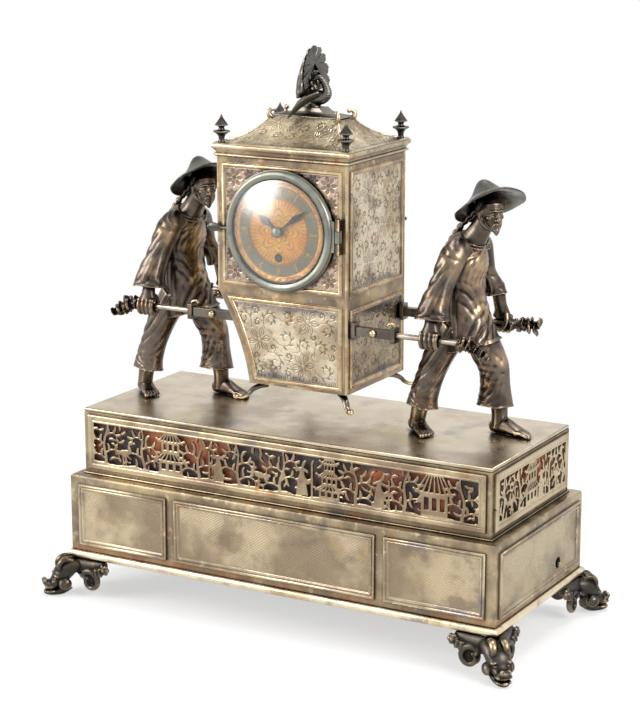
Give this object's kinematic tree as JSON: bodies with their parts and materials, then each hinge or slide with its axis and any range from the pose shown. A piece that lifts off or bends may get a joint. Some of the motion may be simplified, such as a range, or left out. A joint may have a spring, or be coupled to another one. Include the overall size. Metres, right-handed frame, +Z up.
{
  "type": "figural_shelf_clock",
  "caption": "Figural shelf clock: two bronze porters on a pierced two-tier brass base carry a sedan chair whose front holds a round glazed dial.",
  "frame": {"origin": "on the floor under the middle of the base", "axes": "X along the base to the right, dial towards -Y, Z up"},
  "size_m": [0.3488, 0.1618, 0.3845],
  "materials": {
    "gilt_brass": "worn silver-gilt brass, engraved",
    "dark_bronze": "dark patinated cast bronze",
    "figure_bronze": "dark bronze, rubbed to brown gold on the high places",
    "movement_brass": "polished brass",
    "blued_steel": "dark steel",
    "polished_plate": "polished, tarnished plate",
    "bezel_metal": "greenish grey, satin",
    "clear_glass": "clear domed glass",
    "dial_metal": "gilt centre, silvered hour ring",
    "silk": "rust silk",
    "board_wood": "dark board"
  },
  "bodies": {
    "case": {"plinth": "gilt_brass", "plinth_moulding": "gilt_brass", "stage_box": "gilt_brass", "front_fret": "gilt_brass", "right_fret": "gilt_brass", "left_fret": "gilt_brass", "chair_body": "gilt_brass", "chair_leg_front_left": "gilt_brass", "chair_leg_front_right": "gilt_brass", "chair_leg_back_left": "gilt_brass", "chair_leg_back_right": "gilt_brass", "cornice": "gilt_brass", "roof": "gilt_brass", "pole_socket_front_right": "gilt_brass", "pole_socket_back_right": "gilt_brass", "pole_socket_front_left": "gilt_brass", "pole_socket_back_left": "gilt_brass", "foot_front_right": "dark_bronze", "foot_back_right": "dark_bronze", "foot_back_left": "dark_bronze", "foot_front_left": "dark_bronze", "finial_front_left": "dark_bronze", "finial_front_right": "dark_bronze", "finial_back_left": "dark_bronze", "finial_back_right": "dark_bronze", "peacock": "dark_bronze", "lead_porter_body": "figure_bronze", "lead_porter_head": "figure_bronze", "lead_porter_near_arm": "figure_bronze", "lead_porter_far_arm": "figure_bronze", "rear_porter_body": "figure_bronze", "rear_porter_head": "figure_bronze", "rear_porter_near_arm": "figure_bronze", "rear_porter_far_arm": "figure_bronze", "pole_front_right": "figure_bronze", "pole_back_right": "figure_bronze", "pole_front_left": "figure_bronze", "pole_back_left": "figure_bronze", "balance_cock": "movement_brass", "front_plate": "movement_brass", "back_plate": "movement_brass", "stage_plate": "polished_plate", "dial": "dial_metal", "silk_lining": "silk", "base_board": "board_wood"},
    "bezel_door": {"bezel": "bezel_metal", "bezel_glass": "clear_glass"},
    "rear_door": {"rear_cover": "gilt_brass"},
    "minute_hand_set": {"minute_hand": "blued_steel", "cannon_pinion": "blued_steel"},
    "hour_hand_set": {"hour_hand": "blued_steel", "hour_wheel": "movement_brass"},
    "minute_wheel_set": {"minute_wheel": "movement_brass"},
    "barrel_set": {"spring_barrel": "movement_brass"},
    "winding_set": {"winding_arbor": "blued_steel"},
    "centre_set": {"centre_wheel": "movement_brass"},
    "third_set": {"third_wheel": "movement_brass"},
    "fourth_set": {"fourth_wheel": "movement_brass"},
    "escape_set": {"escape_wheel": "movement_brass"},
    "balance_set": {"balance_wheel": "movement_brass"}
  },
  "joints": [
    {"name": "bezel_hinge", "type": "hinge", "parent": "case", "child": "bezel_door", "pos_m": [0.035, -0.0436, 0.267], "axis": [0, 0, 1], "range_deg": [0, 110]},
    {"name": "rear_cover_hinge", "type": "hinge", "parent": "case", "child": "rear_door", "pos_m": [-0.0476, 0.0426, 0.267], "axis": [0, 0, 1], "range_deg": [0, 110]},
    {"name": "minute_hand_turn", "type": "hinge", "parent": "case", "child": "minute_hand_set", "pos_m": [-0.0086, -0.046, 0.267], "axis": [0, 1, 0], "continuous": true},
    {"name": "hour_hand_turn", "type": "hinge", "parent": "case", "child": "hour_hand_set", "pos_m": [-0.0086, -0.045, 0.267], "axis": [0, 1, 0], "continuous": true},
    {"name": "minute_wheel_turn", "type": "hinge", "parent": "case", "child": "minute_wheel_set", "pos_m": [-0.0006, -0.04, 0.267], "axis": [0, 1, 0], "continuous": true},
    {"name": "fourth_wheel_turn", "type": "hinge", "parent": "case", "child": "fourth_set", "pos_m": [-0.00719, -0.026, 0.28468], "axis": [0, 1, 0], "continuous": true},
    {"name": "third_wheel_turn", "type": "hinge", "parent": "case", "child": "third_set", "pos_m": [0.00095, -0.026, 0.27655], "axis": [0, 1, 0], "continuous": true},
    {"name": "centre_wheel_turn", "type": "hinge", "parent": "case", "child": "centre_set", "pos_m": [-0.0086, -0.026, 0.267], "axis": [0, 1, 0], "continuous": true},
    {"name": "barrel_turn", "type": "hinge", "parent": "case", "child": "barrel_set", "pos_m": [-0.0086, -0.026, 0.2495], "axis": [0, 1, 0], "continuous": true},
    {"name": "escape_wheel_turn", "type": "hinge", "parent": "case", "child": "escape_set", "pos_m": [-0.01705, -0.026, 0.28109], "axis": [0, 1, 0], "continuous": true},
    {"name": "balance_swing", "type": "hinge", "parent": "case", "child": "balance_set", "pos_m": [-0.02513, -0.012, 0.27814], "axis": [0, 1, 0], "range_deg": [-135, 135], "stiffness_Nm_per_rad": 0.0000075},
    {"name": "winding_turn", "type": "hinge", "parent": "case", "child": "winding_set", "pos_m": [-0.0086, -0.04, 0.2495], "axis": [0, 1, 0], "range_deg": [0, 1800]}
  ],
  "couplings": [
    {"joint": "hour_hand_turn", "follows": "minute_hand_turn", "ratio": 0.083333},
    {"joint": "minute_wheel_turn", "follows": "minute_hand_turn", "ratio": -0.33333},
    {"joint": "third_wheel_turn", "follows": "fourth_wheel_turn", "ratio": -0.13333},
    {"joint": "centre_wheel_turn", "follows": "fourth_wheel_turn", "ratio": 0.016667},
    {"joint": "barrel_turn", "follows": "fourth_wheel_turn", "ratio": -0.002381},
    {"joint": "escape_wheel_turn", "follows": "fourth_wheel_turn", "ratio": -10}
  ]
}
